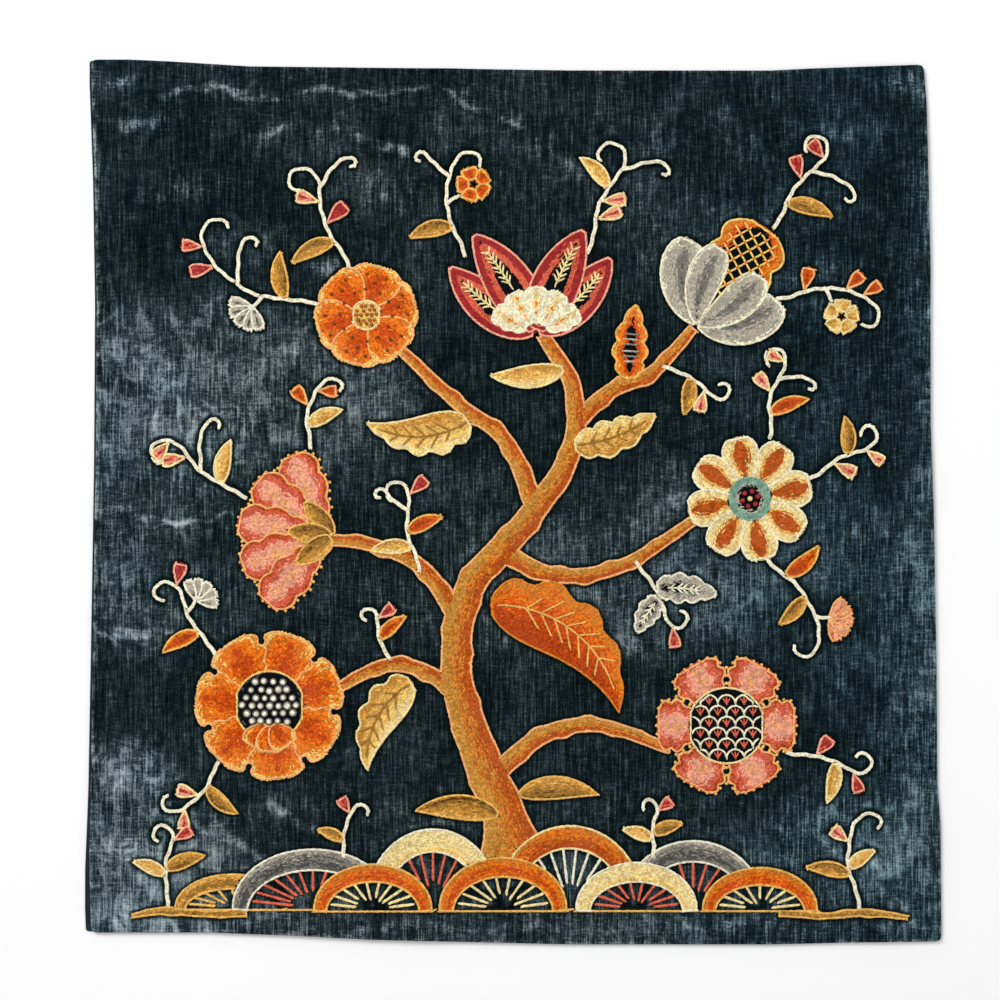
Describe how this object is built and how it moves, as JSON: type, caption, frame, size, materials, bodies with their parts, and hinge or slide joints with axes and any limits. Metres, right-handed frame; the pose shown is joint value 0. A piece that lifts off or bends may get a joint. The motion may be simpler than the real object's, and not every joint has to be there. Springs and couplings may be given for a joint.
{
  "type": "crewel embroidery panel",
  "caption": "Square dark slate-blue velvet panel lying flat, worked all over in coloured crewel wool with a flowering tree on low hillocks, leaves, blossoms and curling sprigs.",
  "frame": {"origin": "middle of the box round the panel, on the surface that it lies on", "axes": "+X to the right of the panel, +Y to its top, +Z out of its face"},
  "size_m": [0.5133, 0.5311, 0.0058],
  "materials": {
    "velvet": "velvet pile",
    "plain_cloth": "matte",
    "cream_wool": "matte",
    "bark_wool": "matte",
    "flame_wool": "matte",
    "orange_wool": "matte",
    "gold_wool": "matte",
    "olive_wool": "matte",
    "slate_wool": "matte",
    "grey_wool": "matte",
    "red_wool": "matte",
    "coral_wool": "matte"
  },
  "bodies": {
    "root": {"backing": "plain_cloth", "velvet": "velvet", "tree": "bark_wool", "ground_left": "olive_wool", "ground_right": "olive_wool", "carnation": "coral_wool", "dotted_flower": "orange_wool", "hillock_1": "olive_wool", "hillock_2": "slate_wool", "hillock_3": "cream_wool", "hillock_4": "gold_wool", "hillock_5": "slate_wool", "hillock_6": "flame_wool", "hillock_7": "flame_wool", "hillock_8": "cream_wool", "hillock_9": "flame_wool", "leaf_flame_top": "flame_wool", "leaf_gold_crown": "gold_wool", "leaf_gold_left": "gold_wool", "leaf_gold_right": "gold_wool", "leaf_gold_up": "gold_wool", "leaf_great": "flame_wool", "leaf_olive_low": "olive_wool", "leaf_olive_right": "olive_wool", "lily": "red_wool", "lotus": "grey_wool", "peony": "orange_wool", "pomegranate": "coral_wool", "sprig_bough": "cream_wool", "sprig_carnation_up": "cream_wool", "sprig_crown_left": "cream_wool", "sprig_crown_right": "cream_wool", "sprig_fruit": "cream_wool", "sprig_grey": "cream_wool", "sprig_ground_left": "cream_wool", "sprig_ground_mid": "cream_wool", "sprig_ground_peony": "cream_wool", "sprig_ground_right": "cream_wool", "sprig_heart": "cream_wool", "sprig_left_high": "cream_wool", "sprig_left_low": "cream_wool", "sprig_left_mid": "cream_wool", "sprig_peony_down": "cream_wool", "sprig_right_high": "cream_wool", "sprig_right_inner": "cream_wool", "sprig_right_low": "cream_wool", "sprig_right_mid": "cream_wool", "sprig_star_up": "cream_wool", "sprig_top_left": "cream_wool", "sprig_top_right": "cream_wool", "star_flower": "cream_wool"}
  },
  "joints": []
}
